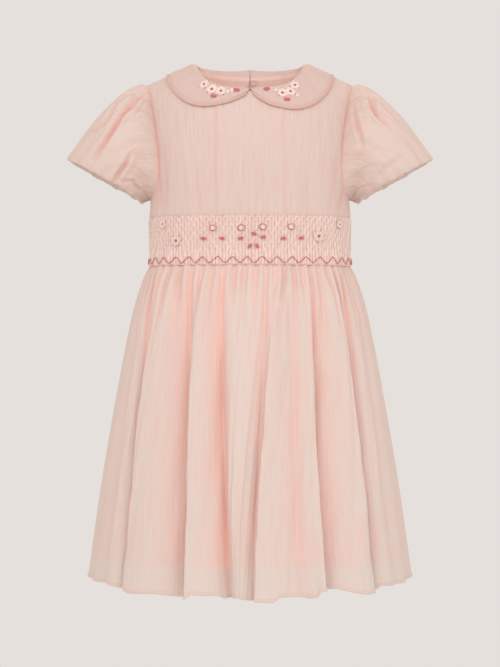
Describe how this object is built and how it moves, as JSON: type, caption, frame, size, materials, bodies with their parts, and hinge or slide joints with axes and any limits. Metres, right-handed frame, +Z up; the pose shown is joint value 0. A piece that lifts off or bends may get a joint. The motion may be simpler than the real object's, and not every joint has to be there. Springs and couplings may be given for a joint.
{
  "type": "party dress",
  "caption": "Child's party dress with a round collar, short puff sleeves, a smocked waistband and a full gathered skirt over a lining, open at neck, cuffs and hem.",
  "frame": {"origin": "between the shoulders, level with the points where the collar crosses them, where the wearer holds the dress up", "axes": "+Z up, the front faces -Y, +X to the wearer's left"},
  "size_m": [0.4352, 0.3132, 0.6195],
  "materials": {
    "cloth": "sheer crinkled weave",
    "collar": "crinkled weave, doubled",
    "piping": "satin bound cord",
    "smocking": "smocked weave",
    "lining": "plain weave",
    "button": "pearly"
  },
  "bodies": {
    "root": {"bodice_front": "cloth", "bodice_back_left": "cloth", "bodice_back_right": "cloth", "back_placket": "cloth", "button_1": "button", "button_2": "button", "button_3": "button", "button_4": "button", "collar_left": "collar", "collar_right": "collar", "collar_piping_left": "piping", "collar_piping_right": "piping", "neck_binding_left": "lining", "neck_binding_right": "lining", "sleeve_left": "cloth", "sleeve_right": "cloth", "sleeve_band_left": "cloth", "sleeve_band_right": "cloth", "waistband_front": "smocking", "waistband_back_left": "cloth", "waistband_back_right": "cloth", "skirt_front": "cloth", "skirt_back": "cloth", "skirt_lining": "lining"}
  },
  "joints": []
}
